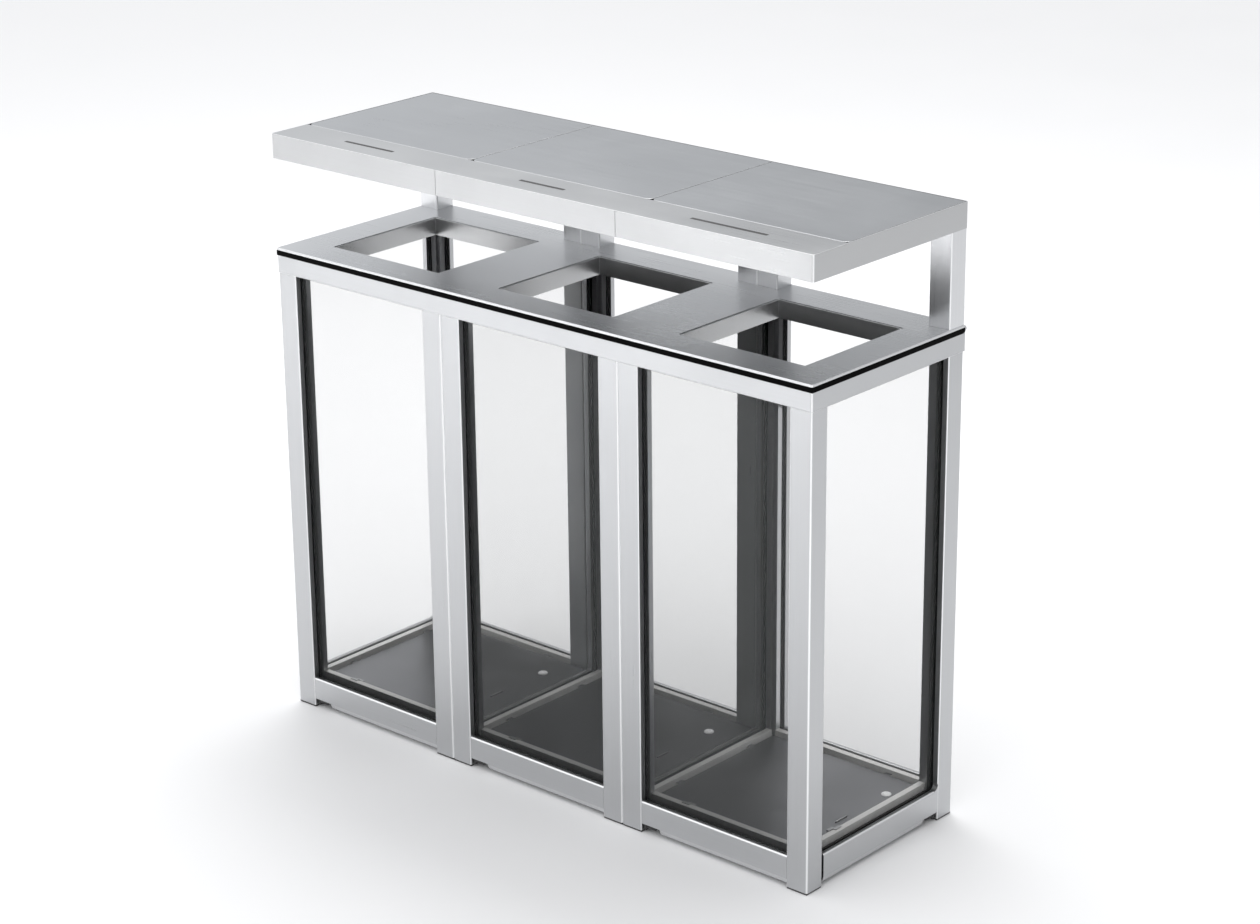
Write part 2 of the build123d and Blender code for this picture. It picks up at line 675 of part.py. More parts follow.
# ---- lid lock in the left end of the top frame --------------------------------------------
plug_y = front_y + plug_offset
case_x0 = left_x + frame_width
case_x1 = case_x0 + 20.0
case_y0 = plug_y - 20.0
case_y1 = plug_y + 34.0
case_z0 = plug_z - 15.0
case_z1 = plug_z + 10.0
bolt_x0 = case_x0 + 8.5
bolt_x1 = bolt_x0 + 8.0
bolt_z0 = plug_z - 9.5
bolt_z1 = plug_z + 2.5
bolt_y0 = plug_y - 11.0
bolt_y1 = case_y1 - 1.0
slide_gap = 0.3
with BuildPart() as lock_case:
    block(case_x0, case_x1, case_y0, case_y1, case_z0, case_z1)
    block(
        case_x0 + sheet, case_x1 - 1.5, case_y0 + 1.5, case_y1 - 5,
        case_z0 + 1.5, case_z1 - 1.5, mode=Mode.SUBTRACT,
    )
    with Locations(Location((case_x0 + 1, plug_y, plug_z), (0, 90, 0))):
        Cylinder(plug_radius + pin_clearance, 4, mode=Mode.SUBTRACT)
    block(
        bolt_x0 - slide_gap, bolt_x1 + slide_gap, case_y1 - 6, case_y1 + 1,
        bolt_z0 - slide_gap, bolt_z1 + slide_gap, mode=Mode.SUBTRACT,
    )
save(lock_case, "lock_case")

plug_end = bolt_x0 - 0.5
throw_pin_radius = 1.8
key_slot = (1.6, 9.0, 3.0)
with BuildPart() as lock_plug:
    with Locations(Location(((left_x + plug_end) / 2, plug_y, plug_z), (0, 90, 0))):
        Cylinder(plug_radius, plug_end - left_x)
    chamfer(lock_plug.edges().group_by(Axis.X)[0], 0.6)
    throw = throw_radius / 2 ** 0.5
    with Locations(Location((plug_end + 3.5, plug_y - throw, plug_z - throw), (0, 90, 0))):
        Cylinder(throw_pin_radius, 7)
    with Locations((left_x + key_slot[2] / 2, plug_y, plug_z)):
        Box(key_slot[2], key_slot[0], key_slot[1], mode=Mode.SUBTRACT)
save(lock_plug, "lock_plug")

slot_half = throw_pin_radius + 0.5
with BuildPart() as lock_bolt:
    block(bolt_x0, bolt_x1, bolt_y0, bolt_y1, bolt_z0, bolt_z1)
    block(
        bolt_x0, bolt_x1, plug_y - throw - slot_half, plug_y - throw + slot_half,
        bolt_z0, plug_z - 1.7, mode=Mode.SUBTRACT,
    )
save(lock_bolt, "lock_bolt")

keeper_y0 = case_y1 + 2.0
keeper_sheet = 3.0
keeper_play = 1.0
with BuildPart() as lock_keeper:
    block(
        bolt_x0 - 4, bolt_x1 + 4, keeper_y0, keeper_y0 + keeper_sheet,
        bolt_z0 - 5, lid_top - sheet,
    )
    block(
        bolt_x0 - 4, bolt_x1 + 4, keeper_y0, keeper_y0 + 16,
        lid_top - sheet - keeper_sheet, lid_top - sheet,
    )
    block(
        bolt_x0 - keeper_play, bolt_x1 + keeper_play, keeper_y0, keeper_y0 + keeper_sheet,
        bolt_z0 - keeper_play, bolt_z1 + keeper_play, mode=Mode.SUBTRACT,
    )
save(lock_keeper, "lock_keeper")
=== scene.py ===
import json
import math

import bmesh
import bpy
from mathutils import Matrix, Vector


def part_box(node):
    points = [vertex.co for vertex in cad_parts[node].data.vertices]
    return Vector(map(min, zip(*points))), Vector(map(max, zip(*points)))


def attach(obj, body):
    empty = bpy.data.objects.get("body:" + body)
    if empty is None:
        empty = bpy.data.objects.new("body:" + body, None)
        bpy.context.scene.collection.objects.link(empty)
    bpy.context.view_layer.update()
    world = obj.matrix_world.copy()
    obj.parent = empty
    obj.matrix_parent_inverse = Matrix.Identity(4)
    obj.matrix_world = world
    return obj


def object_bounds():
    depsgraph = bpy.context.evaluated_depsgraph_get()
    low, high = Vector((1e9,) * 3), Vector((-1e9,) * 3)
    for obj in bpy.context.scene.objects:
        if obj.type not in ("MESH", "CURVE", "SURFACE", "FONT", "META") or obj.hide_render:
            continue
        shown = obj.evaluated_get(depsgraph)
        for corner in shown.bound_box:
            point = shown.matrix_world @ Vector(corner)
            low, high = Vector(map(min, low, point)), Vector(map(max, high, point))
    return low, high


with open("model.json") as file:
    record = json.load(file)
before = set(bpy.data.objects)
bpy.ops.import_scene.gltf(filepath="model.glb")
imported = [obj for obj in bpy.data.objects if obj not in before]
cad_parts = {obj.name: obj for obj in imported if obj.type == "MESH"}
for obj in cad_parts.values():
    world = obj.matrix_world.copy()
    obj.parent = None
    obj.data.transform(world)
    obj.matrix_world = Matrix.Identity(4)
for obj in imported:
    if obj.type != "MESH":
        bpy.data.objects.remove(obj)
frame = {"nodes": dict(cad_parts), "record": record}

for spare in ("Cube", "Light", "Camera"):
    if spare in bpy.data.objects:
        bpy.data.objects.remove(bpy.data.objects[spare])
cad_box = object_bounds()

BAYS = ("left", "centre", "right")
FRAME_BODY = "frame"
TOP_BODY = "top_unit"
MM = 0.001
TRAY_FLOOR_TOP = 56.0        # millimetres


# ---- materials ---------------------------------------------------------------------------
class NodeTree:
    """The nodes of a material or a world, with short calls for those that several of them share."""

    def __init__(self, owner):
        owner.use_nodes = True
        self.nodes, self.links = owner.node_tree.nodes, owner.node_tree.links

    def part(self, vector, axis):
        """One axis of a vector."""
        split = self.nodes.new("ShaderNodeSeparateXYZ")
        self.links.new(vector, split.inputs["Vector"])
        return split.outputs[axis]

    def spread(self, value, low, high, start=0.3, end=0.7):
        """A value mapped from start..end to low..high."""
        node = self.nodes.new("ShaderNodeMapRange")
        node.inputs["From Min"].default_value = start
        node.inputs["From Max"].default_value = end
        node.inputs["To Min"].default_value = low
        node.inputs["To Max"].default_value = high
        self.links.new(value, node.inputs["Value"])
        return node.outputs["Result"]

    def mix(self, factor, a, b):
        """A colour between a and b, each a colour or another node's output."""
        node = self.nodes.new("ShaderNodeMix")
        node.data_type = "RGBA"
        self.links.new(factor, node.inputs["Factor"])
        for socket, value in (("A", a), ("B", b)):
            if isinstance(value, tuple):
                node.inputs[socket].default_value = (*value, 1)
            else:
                self.links.new(value, node.inputs[socket])
        return node.outputs["Result"]


class Shader(NodeTree):
    """A new material with one Principled BSDF, and the nodes that feed it."""

    def __init__(self, name, **sockets):
        self.material = bpy.data.materials.new(name)
        super().__init__(self.material)
        self.bsdf = self.nodes["Principled BSDF"]
        for socket, value in sockets.items():
            self.bsdf.inputs[socket.replace("_", " ")].default_value = value
        coordinates = self.nodes.new("ShaderNodeTexCoord")
        self.place = coordinates.outputs["Object"]
        self.facing = coordinates.outputs["Normal"]

    def noise(self, scale, detail=3.0, stretch=(1, 1, 1), distortion=0.0):
        """A noise in object space, stretched along an axis by a small factor there."""
        mapping = self.nodes.new("ShaderNodeMapping")
        mapping.inputs["Scale"].default_value = stretch
        self.links.new(self.place, mapping.inputs["Vector"])
        noise = self.nodes.new("ShaderNodeTexNoise")
        noise.inputs["Scale"].default_value = scale
        noise.inputs["Detail"].default_value = detail
        noise.inputs["Distortion"].default_value = distortion
        self.links.new(mapping.outputs["Vector"], noise.inputs["Vector"])
        return noise.outputs["Fac"]

    def maths(self, operation, a, b):
        """An operation on two values, each a number or another node's output."""
        node = self.nodes.new("ShaderNodeMath")
        node.operation = operation
        for socket, value in zip(node.inputs, (a, b)):
            if isinstance(value, (int, float)):
                socket.default_value = value
            else:
                self.links.new(value, socket)
        return node.outputs[0]

    def weighed(self, a, b, share):
        """A share of a, and the rest of b."""
        return self.maths("ADD", self.maths("MULTIPLY", a, share), self.maths("MULTIPLY", b, 1 - share))

    def edges(self):
        """0 on faces square to the axes, rising to 1 on the middle of a rounded edge; it places the painted
        edge highlight.
        """
        lengths = [self.maths("ABSOLUTE", self.part(self.facing, axis), 0) for axis in "XYZ"]
        x, y, z = (self.maths("POWER", length, 4) for length in lengths)
        flat = self.maths("ADD", self.maths("ADD", x, y), z)
        return self.spread(flat, 1, 0, 0.5, 0.9)

    def bump(self, height, distance, strength, normal=None):
        """A normal tilted by a height, over the plain normal or another one."""
        node = self.nodes.new("ShaderNodeBump")
        node.inputs["Strength"].default_value = strength
        node.inputs["Distance"].default_value = distance
        self.links.new(height, node.inputs["Height"])
        if normal is not None:
            self.links.new(normal, node.inputs["Normal"])
        return node.outputs["Normal"]

    def rounded(self, radius):
        """A normal that softens every edge."""
        node = self.nodes.new("ShaderNodeBevel")
        node.samples = 4
        node.inputs["Radius"].default_value = radius
        return node.outputs["Normal"]

    def drive(self, socket, value):
        """Feeds a socket of the Principled BSDF from another node's output."""
        self.links.new(value, self.bsdf.inputs[socket])


# Near-white colour for the painted highlight on rounded edges of brushed steel.
EDGE_HIGHLIGHT = (0.93, 0.935, 0.94)


def shades(tint, shade):
    """A darker tint and the tint itself."""
    return tuple(channel * shade for channel in tint), tint


def grey(level):
    """A neutral colour."""
    return (level, level, level)


def brushed_steel(name, grain, tint=(0.53, 0.537, 0.547), rough=(0.28, 0.35), edge=0.0007):
    """Satin steel with its grain along one axis, faint smears, and a painted highlight that makes its
    rounded edges near-white.
    """
    shader = Shader(name, Metallic=1.0)
    stretch = [1.0, 1.0, 1.0]
    stretch["XYZ".index(grain)] = 0.006
    fine = shader.noise(scale=1400.0, detail=2.0, stretch=stretch)
    broad = shader.noise(scale=260.0, detail=2.0, stretch=stretch)
    smear = shader.noise(scale=5.0, detail=4.0, distortion=0.6)
    lines = shader.weighed(fine, broad, 0.6)
    surface = shader.mix(shader.spread(lines, 0, 1, 0.35, 0.65), *shades(tint, 0.96))
    # Painted highlight: the edge mask mixes the colour of rounded edges towards near-white.
    shader.drive("Base Color", shader.mix(shader.edges(), surface, EDGE_HIGHLIGHT))
    grain_rough = shader.spread(lines, *rough, 0.35, 0.65)
    shader.drive("Roughness", shader.maths("ADD", grain_rough, shader.spread(smear, -0.02, 0.05)))
    shader.drive("Normal", shader.bump(lines, 0.00003, 0.12, shader.rounded(edge)))
    return shader.material


def scuff(shader, stains, rough):
    """Gives a shader the uneven gloss and the shallow scuffs of steel in use."""
    scuffs = shader.noise(scale=120.0, detail=4.0, stretch=(1, 0.08, 1), distortion=0.4)
    shader.drive("Roughness", shader.spread(shader.weighed(stains, scuffs, 0.6), *rough))
    shader.drive("Normal", shader.bump(scuffs, 0.00004, 0.3, shader.rounded(0.0006)))


def stained_steel(name, tint, rough):
    """Dull steel with scuffs and stains, for what waste and water reach."""
    shader = Shader(name, Metallic=1.0)
    stains = shader.noise(scale=9.0, detail=6.0, distortion=1.2)
    shader.drive("Base Color", shader.mix(shader.spread(stains, 0, 1), *shades(tint, 0.8)))
    scuff(shader, stains, rough)
    return shader.material


def tray_steel(name, shaded_floor_tint, rim_tint, rough):
    """Scuffed steel tray whose floor plate is tinted far darker as painted shade of the recessed floor
    inside the bays, with pale satin rims that stand above it.
    """
    shader = Shader(name)
    stains = shader.noise(scale=9.0, detail=6.0, distortion=1.2)
    rim_start, rim_end = (TRAY_FLOOR_TOP + 0.2) * MM, (TRAY_FLOOR_TOP + 0.4) * MM
    low = shader.spread(shader.part(shader.place, "Z"), 1, 0, rim_start, rim_end)
    level = shader.spread(shader.part(shader.facing, "Z"), 0, 1, 0.4, 0.6)
    rim = shader.maths("SUBTRACT", 1, shader.maths("MULTIPLY", low, level))
    # The floor plate's dark tint is painted shade; the stains only vary it at random.
    plate = shader.mix(shader.spread(stains, 0, 1), *shades(shaded_floor_tint, 0.85))
    shader.drive("Base Color", shader.mix(rim, plate, rim_tint))
    shader.drive("Metallic", shader.spread(rim, 1, 0.3, 0, 1))
    scuff(shader, stains, rough)
    return shader.material


def black_rubber(name, level=0.012, shine=0.2):
    """Matt black rubber with a fine grain and a little dust."""
    shader = Shader(name, Specular_IOR_Level=shine)
    grain = shader.noise(scale=400.0, detail=2.0)
    dust = shader.noise(scale=14.0, detail=5.0)
    shader.drive("Base Color", shader.mix(shader.spread(dust, 0, 1), grey(level), grey(level * 1.5)))
    shader.drive("Roughness", shader.spread(grain, 0.65, 0.75))
    return shader.material


def moulded_plastic(name, level, lighter):
    """Moulded plastic with a fine matt grain."""
    shader = Shader(name)
    grain = shader.noise(scale=700.0, detail=2.0)
    shader.drive("Base Color", shader.mix(shader.spread(grain, 0, 1), grey(level), grey(lighter)))
    shader.drive("Roughness", shader.spread(grain, 0.42, 0.58))
    shader.drive("Normal", shader.bump(grain, 0.00004, 0.3))
    return shader.material


def clear_pane(name):
    """Clear sheet: almost all light goes straight through, with a faint cool tint and a clean reflection."""
    shader = Shader(name, Metallic=0.0, IOR=1.5, Alpha=0.08)
    haze = shader.noise(scale=3.0, detail=4.0, distortion=0.8)
    shader.drive("Base Color", shader.mix(shader.spread(haze, 0, 1), (0.2, 0.21, 0.21), (0.26, 0.27, 0.27)))
    shader.drive("Roughness", shader.spread(haze, 0.02, 0.05))
    return shader.material


def polished_chrome(name):
    """Bright chrome with fine wear."""
    shader = Shader(name, Metallic=1.0)
    wear = shader.noise(scale=300.0, detail=4.0)
    shader.drive("Base Color", shader.mix(shader.spread(wear, 0, 1), (0.72, 0.72, 0.73), (0.8, 0.8, 0.81)))
    shader.drive("Roughness", shader.spread(wear, 0.08, 0.2))
    return shader.material


def floor_paint(name):
    """Pale matt paint."""
    shader = Shader(name, Base_Color=(0.88, 0.88, 0.885, 1), Specular_IOR_Level=0.15)
    shader.drive("Roughness", shader.spread(shader.noise(scale=3.0), 0.6, 0.75))
    return shader.material


FINISHES = {
    "post_steel": brushed_steel("post_finish", "Z"),
    "rail_steel": brushed_steel("rail_finish", "X"),
    "pane_glass": clear_pane("pane_finish"),
    "glazing_rubber": black_rubber("channel_finish"),
    # The tray's dark floor tint is painted shade of the dim inside of the bays.
    "tray_steel": tray_steel(
        "tray_finish", shaded_floor_tint=(0.27, 0.27, 0.28), rim_tint=(0.78, 0.77, 0.75), rough=(0.3, 0.42),
    ),
    "ring_steel": stained_steel("ring_finish", (0.5, 0.5, 0.51), (0.3, 0.45)),
    "frame_steel": brushed_steel("frame_finish", "X"),
    # Black rubber, set almost pure black and without shine as painted shade of the gap under the lid.
    "seal_rubber": black_rubber("seal_finish", level=0.002, shine=0.03),
    "bracket_steel": stained_steel("bracket_finish", (0.3, 0.3, 0.31), (0.4, 0.55)),
    "foot_plastic": moulded_plastic("foot_finish", level=0.03, lighter=0.042),
    "hinge_steel": brushed_steel("hinge_finish", "X"),
    "pin_steel": brushed_steel("pin_finish", "X", edge=0.0003),
    "lock_case_steel": stained_steel("lock_case_finish", (0.45, 0.45, 0.46), (0.35, 0.5)),
    "lid_steel": brushed_steel("lid_finish", "X", (0.62, 0.627, 0.637), rough=(0.26, 0.31)),
    "chute_steel": brushed_steel("chute_finish", "X", (0.62, 0.625, 0.63)),
    # The supports' steel is tinted lighter than the same steel elsewhere: painted light on faces that the
    # station itself keeps dim.
    "support_steel": brushed_steel("support_finish", "Z", (0.7, 0.707, 0.72)),
    "roof_steel": brushed_steel("roof_finish", "X", (0.52, 0.525, 0.53)),
    "cover_steel": brushed_steel("cover_finish", "X", (0.44, 0.45, 0.463)),
    "keeper_steel": stained_steel("keeper_finish", (0.5, 0.5, 0.51), (0.35, 0.5)),
    "lock_chrome": polished_chrome("plug_finish"),
    "bolt_steel": brushed_steel("bolt_finish", "Y", edge=0.0003),
}
for part in frame["record"]["subparts"]:
    node = frame["nodes"][part["node"]]
    node.data.materials.clear()
    node.data.materials.append(FINISHES[part["material_slot"]])


# ---- small pieces that the CAD frame leaves out ---------------------------------------------
class Piece:
    """One mesh that rides on a body, built up from small closed shapes in millimetres."""

    def __init__(self, name, body, slot, finish=None):
        self.name, self.body, self.slot = name, body, slot
        self.finish = finish or FINISHES[slot]
        self.form = bmesh.new()

    def box(self, low, high, bevel=0.0):
        """A box between two corners, with its edges bevelled if asked for."""
        low, high = Vector(low), Vector(high)
        made = bmesh.ops.create_cube(self.form, size=1)
        bmesh.ops.scale(self.form, vec=high - low, verts=made["verts"])
        bmesh.ops.translate(self.form, vec=(low + high) / 2, verts=made["verts"])
        if bevel:
            edges = list(dict.fromkeys(edge for vertex in made["verts"] for edge in vertex.link_edges))
            bmesh.ops.bevel(self.form, geom=edges, offset=bevel, segments=2, affect="EDGES", profile=0.5)

    def lathe(self, profile, place, turn=Matrix(), steps=32):
        """Revolves (radius, height) points about a local Z axis; a point with no radius closes an end."""
        place = Matrix.Translation(place) @ turn.to_4x4()
        rings = []
        for radius, height in profile:
            if radius == 0:
                rings.append([self.form.verts.new(place @ Vector((0, 0, height)))] * steps)
                continue
            angles = [2 * math.pi * i / steps for i in range(steps)]
            spots = [Vector((radius * math.cos(a), radius * math.sin(a), height)) for a in angles]
            rings.append([self.form.verts.new(place @ spot) for spot in spots])
        for lower, upper in zip(rings, rings[1:]):
            for i in range(steps):
                k = (i + 1) % steps
                corners = dict.fromkeys((lower[i], lower[k], upper[k], upper[i]))
                self.form.faces.new(list(corners))

    def strip(self, section, start, end):
        """A bent strip: a closed outline in the plane of two directions, run along a third."""
        near = [self.form.verts.new(start + spot) for spot in section]
        far = [self.form.verts.new(end + spot) for spot in section]
        self.form.faces.new(list(reversed(near)))
        self.form.faces.new(far)
        for i in range(len(section)):
            k = (i + 1) % len(section)
            self.form.faces.new((near[i], near[k], far[k], far[i]))

    def done(self):
        """Turns the shapes into one object in metres, on its body."""
        bmesh.ops.scale(self.form, vec=(MM, MM, MM), verts=self.form.verts)
        bmesh.ops.recalc_face_normals(self.form, faces=self.form.faces)
        mesh = bpy.data.meshes.new(self.name)
        self.form.to_mesh(mesh)
        self.form.free()
        mesh.materials.append(self.finish)
        item = bpy.data.objects.new(self.name, mesh)
        bpy.context.scene.collection.objects.link(item)
        mesh.set_sharp_from_angle(angle=math.radians(35))
        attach(item, self.body)


def corners_mm(node):
    """A node's lowest and highest corners, in millimetres."""
    return [Vector(corner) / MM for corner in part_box(node)]


def cover_joints():
    """Dark sealant in the joints round the three roof covers, sunk deeper along their front edge."""
    depth = 0.15
    front_depth = 0.8
    joints = Piece("cover_joint_sealant", TOP_BODY, "seal_rubber")
    boxes = [corners_mm(f"{bay}_roof_cover") for bay in BAYS]
    (x0, y0, z0), (x1, y1, z1) = boxes[0][0], boxes[-1][1]
    gap = boxes[1][0].x - boxes[0][1].x
    top = z1 - depth
    for (left, _), (_, right) in zip(boxes[1:], boxes):
        joints.box((right.x, y0, z0), (left.x, y1, top))
    joints.box((x0 - gap, y0 - gap, z0), (x0, y1 + gap, top))
    joints.box((x1, y0 - gap, z0), (x1 + gap, y1 + gap, top))
    joints.box((x0, y0 - gap, z0), (x1, y0, z1 - front_depth))
    joints.box((x0, y1, z0), (x1, y1 + gap, top))
    joints.done()


LABELS = ((-399.0, 116.0), (4.0, 98.0), (400.0, 154.0))     # each label's centre and length along X


def blank_labels():
    """Plain dark inlays where each bay's waste type would be marked."""
    film = 0.25
    half_width = 3.5
    setback = 42.0
    roof_low, roof_high = corners_mm("roof_frame")
    labels = Piece("blank_label_inlays", TOP_BODY, "foot_plastic")
    y = roof_low.y + setback
    for centre, length in LABELS:
        low = (centre - length / 2, y - half_width, roof_high.z)
        high = (centre + length / 2, y + half_width, roof_high.z + film)
        labels.box(low, high, bevel=0.1)
    labels.done()


def seal_shade_lip():
    """The outer lip of the lid seal, folded over the top frame's edge except where the hinges are; its black
    covers the frame's bright ledge as painted shade that widens the dark line under the lid.
    """
    overhang = 0.4
    drop = 1.3
    rise = 0.2
    rear_clearance = 0.2
    lip = Piece("lid_seal_lip", FRAME_BODY, "seal_rubber")
    (x0, y0, z0), (x1, y1, z1) = corners_mm("lid_seal")
    frame_low, frame_high = corners_mm("top_frame")
    left, front = frame_low.x - overhang, frame_low.y - overhang
    right, rear = frame_high.x + overhang, frame_high.y - rear_clearance
    top, bottom = z1 + rise, z0 - drop
    lip.box((left, front, bottom), (right, y0, top), bevel=0.3)
    lip.box((left, y1, z0), (right, rear, top), bevel=0.3)
    lip.box((left, y0, bottom), (x0, y1, top), bevel=0.3)
    lip.box((x1, y0, bottom), (right, y1, top), bevel=0.3)
    lip.done()


def span(end, inward, near, far):
    """The low and high place of a stretch that runs inwards from an end."""
    return sorted((end + inward * near, end + inward * far))


# A clip's foot and tongue: where each starts and ends along the rail, and its bottom and top.
NOTCH_CLIP = ((0.5, 6.0, 3.5, 16.0), (6.0, 27.0, 8.5, 12.0))
NOTCH_CLIP_DEPTH = (5.0, 15.0)                              # behind the rail's face


def notch_clips():
    """Black cable clips in the access notches of the outer rails; their black also stands in as painted
    shade for the notches' dark inside.
    """
    clips = Piece("notch_clips", FRAME_BODY, "foot_plastic")
    for bay in BAYS:
        for row, inward in (("front", 1), ("rear", -1)):
            low, high = corners_mm(f"{bay}_{row}_rail")
            end = low if inward > 0 else high
            y0, y1 = span(end.y, inward, *NOTCH_CLIP_DEPTH)
            for near, far, bottom, top in NOTCH_CLIP:
                x0, x1 = span(end.x, inward, near, far)
                clips.box((x0, y0, bottom), (x1, y1, top), bevel=0.6)
    for side, inward in (("left", 1), ("right", -1)):
        low, high = corners_mm(f"{side}_end_rail")
        x0, x1 = span(low.x if inward > 0 else high.x, inward, *NOTCH_CLIP_DEPTH)
        for near, far, bottom, top in NOTCH_CLIP:
            y0, y1 = span(high.y, -1, near, far)
            clips.box((x0, y0, bottom), (x1, y1, top), bevel=0.6)
    clips.done()


def hex_bolt(piece, place):
    """An upright hexagon head, 13 mm across its flats, on a washer."""
    corner = 13.0 / math.sqrt(3)
    piece.lathe([(0, 0), (8.0, 0), (8.0, 1.2), (7.6, 1.6), (0, 1.6)], place)
    head = [(0, 1.6), (corner, 1.6), (corner, 6.2), (corner - 1.0, 6.9), (0, 6.9)]
    piece.lathe(head, place, steps=6)


def anchor_bolts():
    """The bolts of the floor anchors, behind the notches of the rails."""
    bolts = Piece("anchor_bolts", FRAME_BODY, "bracket_steel")
    bracket_foot = 4.0
    for mount in frame["record"]["mounts"]:
        if mount["kind"] != "bolt_pattern":
            continue
        centre = Vector(mount["pos_m"]) / MM
        half_x, half_y = mount["dims"]["spacing_x_mm"] / 2, mount["dims"]["spacing_y_mm"] / 2
        for side in (-1, 1):
            for row in (-1, 1):
                hex_bolt(bolts, centre + Vector((side * half_x, row * half_y, bracket_foot)))
    bolts.done()


def button_screw(piece, place, turn):
    """A low button head with a round recess."""
    dome = [(0, 0), (4.0, 0), (4.0, 0.5), (3.4, 1.4), (2.4, 1.9), (1.4, 1.9), (1.4, 0.7), (0, 0.7)]
    piece.lathe(dome, place, turn, steps=24)


HINGE_POSTS = (
    "left_rear_left_post", "centre_rear_left_post", "centre_rear_right_post", "right_rear_right_post",
)
LEAF_THICKNESS = 2.5
HALF_SCREW_SPACING = 9.0


def hinge_screws(name, body, leaves, rows):
    """Rows of two screws, at given heights, through every leaf of one half of the hinges."""
    screws = Piece(name, body, "pin_steel")
    face = corners_mm(leaves)[0].y + LEAF_THICKNESS
    outward = Matrix.Rotation(-math.pi / 2, 4, "X")
    for post in HINGE_POSTS:
        low, high = corners_mm(post)
        middle = (low.x + high.x) / 2
        for z in rows:
            for side in (-HALF_SCREW_SPACING, HALF_SCREW_SPACING):
                button_screw(screws, Vector((middle + side, face, z)), outward)
    screws.done()


DRAINS = {"left": -251.0, "centre": 149.0, "right": 540.0}  # each tray's drain hole and slot along X
DRAIN_Y = 87.0
SLOT_Y = -38.0


def drain_strainers():
    """Pale domed strainers over the drain holes of the trays."""
    finish = moulded_plastic("strainer_finish", level=0.9, lighter=0.95)
    strainers = Piece("drain_strainers", FRAME_BODY, "foot_plastic", finish)
    stem = [(0, -1.5), (6.6, -1.5), (6.6, 0)]
    dome = [(8.8, 0), (8.8, 0.8), (8.0, 1.6), (6.0, 2.6), (3.0, 3.2), (0, 3.4)]
    for x in DRAINS.values():
        strainers.lathe(stem + dome, Vector((x, DRAIN_Y, TRAY_FLOOR_TOP)))
    strainers.done()


# A rim clip's outline: distances inwards from the rim's inner edge, and heights.
RIM_CLIP = ((-5, 63.0), (0.5, 63.0), (8, 56.3), (15, 56.1), (15, 57.1), (8.5, 57.5), (1, 64.2), (-5, 64.0))
RIM_CLIP_WIDTH = 16.0


def tray_clips():
    """Folded spring clips from the trays' rims to their floor plates, and a tab in every plate's slot."""
    rim_behind_front_rail, rim_behind_end_rail = 37.0, 38.0
    clip_start, end_clip_start = 78.0, -86.0
    half_tab, half_tab_length = 1.3, 15.0
    clips = Piece("tray_clips", FRAME_BODY, "tray_steel", FINISHES["keeper_steel"])
    for bay in BAYS:
        rim_y = corners_mm(f"{bay}_front_rail")[0].y + rim_behind_front_rail
        start = Vector((corners_mm(f"{bay}_floor_tray")[0].x + clip_start, rim_y, 0))
        outline = [Vector((0, inward, z)) for inward, z in RIM_CLIP]
        clips.strip(outline, start, start + Vector((RIM_CLIP_WIDTH, 0, 0)))
        low = (DRAINS[bay] - half_tab, SLOT_Y - half_tab_length, TRAY_FLOOR_TOP - 1.0)
        high = (DRAINS[bay] + half_tab, SLOT_Y + half_tab_length, TRAY_FLOOR_TOP + 2.0)
        clips.box(low, high, bevel=0.6)
    rim_x = corners_mm("right_end_rail")[1].x - rim_behind_end_rail
    start = Vector((rim_x, end_clip_start, 0))
    outline = [Vector((-inward, 0, z)) for inward, z in RIM_CLIP]
    clips.strip(outline, start, start + Vector((0, RIM_CLIP_WIDTH, 0)))
    clips.done()


def lock_escutcheon():
    """A polished ring round the key plug in the left end."""
    plug_low, plug_high = corners_mm("lock_plug")
    ring = Piece("lock_escutcheon", FRAME_BODY, "lock_chrome")
    profile = [(8.3, 0), (12.5, 0), (12.5, 0.6), (12.0, 1.2), (8.9, 1.2), (8.3, 0.8), (8.3, 0)]
    middle = (plug_low + plug_high) / 2
    ring.lathe(profile, Vector((plug_low.x, middle.y, middle.z)), Matrix.Rotation(-math.pi / 2, 4, "Y"))
    ring.done()


cover_joints()
blank_labels()
seal_shade_lip()
notch_clips()
anchor_bolts()
hinge_screws("frame_leaf_screws", FRAME_BODY, "hinge_frame_leaves", rows=(840.0, 852.0))
hinge_screws("lid_leaf_screws", TOP_BODY, "hinge_lid_leaves", rows=(884.0, 896.0))
drain_strainers()
tray_clips()
lock_escutcheon()


# ---- studio ------------------------------------------------------------------------------
def sheet(name, corners, finish):
    """A flat four-cornered sheet."""
    mesh = bpy.data.meshes.new(name)
    mesh.from_pydata(corners, [], [(0, 1, 2, 3)])
    mesh.materials.append(finish)
    item = bpy.data.objects.new(name, mesh)
    bpy.context.scene.collection.objects.link(item)
    return item


def softbox(name, place, target, size, power, spread):
    """A rectangular area light that faces a target, with its light kept within a cone in degrees."""
    light = bpy.data.lights.new(name, "AREA")
    light.shape = "RECTANGLE"
    light.size, light.size_y = size
    light.energy = power
    light.spread = math.radians(spread)
    item = bpy.data.objects.new(name, light)
    item.location = place
    item.rotation_euler = (Vector(target) - Vector(place)).to_track_quat("-Z", "Y").to_euler()
    bpy.context.scene.collection.objects.link(item)


FLOOR_REACH = 30
FLOOR_Z = -0.0005           # keeps the floor just clear of the feet
floor_signs = ((-1, -1), (1, -1), (1, 1), (-1, 1))
floor_corners = [(x * FLOOR_REACH, y * FLOOR_REACH, FLOOR_Z) for x, y in floor_signs]
floor = sheet("studio_floor", floor_corners, floor_paint("floor_finish"))


